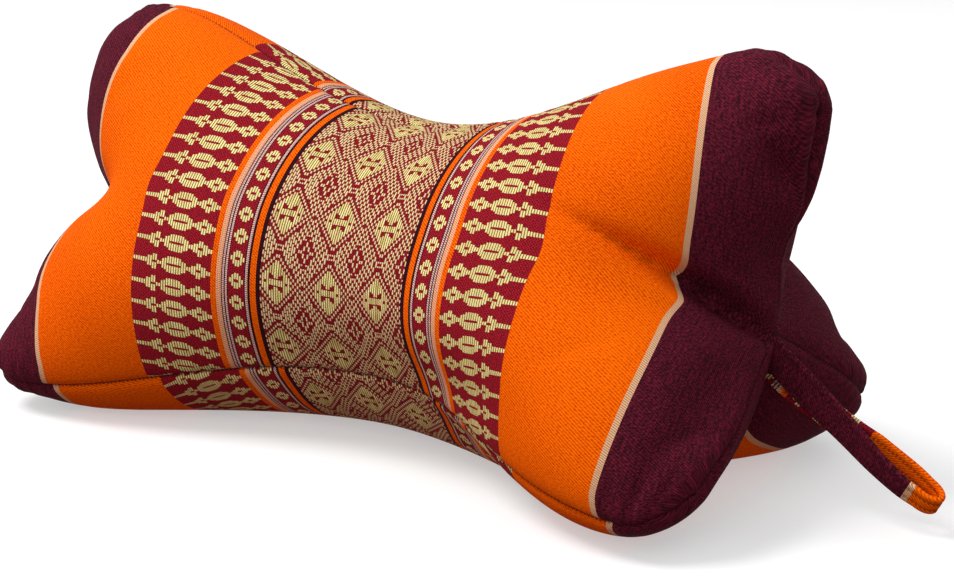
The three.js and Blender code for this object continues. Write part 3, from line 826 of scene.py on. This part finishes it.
def make_loop(end_centre):
    route = loop_route(end_centre)
    section = band_section()
    steps = [(b[0] - a[0]).length for a, b in zip(route, route[1:])]
    travelled = np.concatenate([[0], np.cumsum(steps)])
    vertices, weave, seams = [], [], []
    for k, (middle, across, width) in enumerate(route):
        before = route[max(k - 1, 0)][0]
        after = route[min(k + 1, len(route) - 1)][0]
        face = (after - before).normalized().cross(across).normalized()
        half = width / 2 - BAND_RIM
        u = STRIPES["peach_1"] + LOOP_PEACH_AT - (travelled[-1] - travelled[k])
        for side, level, bulge in section:
            from_hem = (1 - abs(side)) * half - HEM_IN
            hem = HEM_DEPTH * math.exp(-((from_hem / HEM_WIDTH) ** 2))
            height = (LOOP_THICKNESS / 2 - hem * (bulge == 0)) * level
            aside = side * half + math.copysign(BAND_RIM * bulge, side)
            vertices.append((middle + across * aside + face * height) * MM)
            weave.append((u * MM, (aside + BAND_V) * MM))
            seams.append((abs(from_hem) * MM, travelled[k] * MM))
    n = len(section)
    faces = [(k * n + j, k * n + (j + 1) % n, (k + 1) * n + (j + 1) % n, (k + 1) * n + j)
             for k in range(len(route) - 1) for j in range(n)]
    faces.append(tuple(reversed(range(n))))
    last = (len(route) - 1) * n
    faces.append(tuple(range(last, last + n)))
    corners = [index for face in faces for index in face]
    corner_uvs = [weave[k] for k in corners], [seams[k] for k in corners]
    loop = new_object("loop_band", vertices, faces, corner_uvs)
    mean_width = sum(width for _, _, width in route) / len(route)
    return loop, mean_width, float(travelled[-1])


# The pale floor with a glow of its own, and the world's colours below and above, each with its place
# on the ramp.
FLOOR_HALF = 16.0
FLOOR_GREY = (0.62, 0.62, 0.62, 1)
FLOOR_GLOW = 0.42
WORLD_LOW = (0.35, (0.22, 0.08, 0.06, 1))
WORLD_HIGH = (0.62, (1, 1, 1, 1))
WORLD_STRENGTH = 0.62
# Each light's name, place, size, power and colour. All of them face the cushion's middle.
LIGHTS = (
    ("key", (-0.8, -0.7, 1.7), 0.8, 27, (1, 1, 1)),
    ("front", (0.5, -1.8, 1.0), 1.4, 8, (1, 1, 1)),
    ("back", (0.2, 1.4, 1.3), 1.2, 3, (1, 1, 1)),
    ("left", (-1.3, -1.2, 0.45), 0.9, 4.5, (1, 0.82, 0.72)),
)
LIT_MIDDLE = Vector((0, 0, 0.08))


def make_floor():
    corners = [(x * FLOOR_HALF, y * FLOOR_HALF, 0) for x, y in ((-1, -1), (1, -1), (1, 1), (-1, 1))]
    floor = new_object("floor", corners, [(0, 1, 2, 3)], smooth_faces=False)
    material = bpy.data.materials.new("pale_floor")
    material.use_nodes = True
    shader = material.node_tree.nodes["Principled BSDF"]
    shader.inputs["Base Color"].default_value = FLOOR_GREY
    shader.inputs["Roughness"].default_value = 0.9
    shader.inputs["Emission Color"].default_value = (1, 1, 1, 1)
    shader.inputs["Emission Strength"].default_value = FLOOR_GLOW
    floor.data.materials.append(material)
    floor.visible_diffuse = False


def add_light(name, place, size, power, color):
    data = bpy.data.lights.new(name, "AREA")
    data.size = size
    data.energy = power
    data.color = color
    lamp = bpy.data.objects.new(name, data)
    lamp.location = place
    lamp.rotation_euler = (LIT_MIDDLE - Vector(place)).to_track_quat("-Z", "Y").to_euler()
    bpy.context.scene.collection.objects.link(lamp)


def make_world():
    world = bpy.data.worlds.new("studio")
    world.use_nodes = True
    tree = world.node_tree
    coords = tree.nodes.new("ShaderNodeTexCoord")
    split = tree.nodes.new("ShaderNodeSeparateXYZ")
    tree.links.new(coords.outputs["Generated"], split.inputs[0])
    ramp = tree.nodes.new("ShaderNodeValToRGB")
    for element, (position, color) in zip(ramp.color_ramp.elements, (WORLD_LOW, WORLD_HIGH)):
        element.position = position
        element.color = color
    height = Value(tree, split.outputs[2]) * 0.5 + 0.5
    tree.links.new(height.socket, ramp.inputs[0])
    background = tree.nodes["Background"]
    tree.links.new(ramp.outputs[0], background.inputs[0])
    background.inputs[1].default_value = WORLD_STRENGTH
    bpy.context.scene.world = world
    bpy.context.scene.view_settings.view_transform = "Standard"


# The camera, as the photograph was taken: angles in degrees, lengths in millimetres.
SENSOR_WIDTH = 36
CAMERA = dict(azimuth=32.49, elevation=14.81, distance=831.8, aim=(-1.6, 0.0, 61.2), lens=77.91, roll=1.01)


def make_camera():
    azimuth, elevation, roll = (math.radians(CAMERA[k]) for k in ("azimuth", "elevation", "roll"))
    back = Vector((math.sin(azimuth) * math.cos(elevation), -math.cos(azimuth) * math.cos(elevation),
                   math.sin(elevation)))
    level = Vector((math.cos(azimuth), math.sin(azimuth), 0))
    upward = back.cross(level)
    right = level * math.cos(roll) + upward * math.sin(roll)
    up = upward * math.cos(roll) - level * math.sin(roll)
    data = bpy.data.cameras.new("camera")
    data.sensor_width = SENSOR_WIDTH
    data.lens = CAMERA["lens"]
    camera = bpy.data.objects.new("camera", data)
    turn = Matrix((right, up, back)).transposed().to_4x4()
    place = Vector(CAMERA["aim"]) + back * CAMERA["distance"]
    camera.matrix_world = Matrix.Translation(place * MM) @ turn
    bpy.context.scene.collection.objects.link(camera)
    bpy.context.scene.camera = camera


make_camera()
for light in LIGHTS:
    add_light(*light)
make_world()
make_floor()

cover, shell, points = make_cover()
# The last number is how strongly the seam's painted fold shade and its dark stitches darken the cloth.
cover.data.materials.append(khit_cotton("cover_cotton", 0.72))
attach(cover, "root")
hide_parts("cushion")

end_centre = Vector(points[shell.grid[0, -1, shell.columns // 2]])
loop, loop_width, loop_length = make_loop(end_centre)
# The loop's hem grooves get the same painted fold shade and dark stitches, more faintly.
loop.data.materials.append(khit_cotton("band_cotton", 0.45))
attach(loop, "root")
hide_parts("carry_loop")
loop_width * MM
loop_length * MM
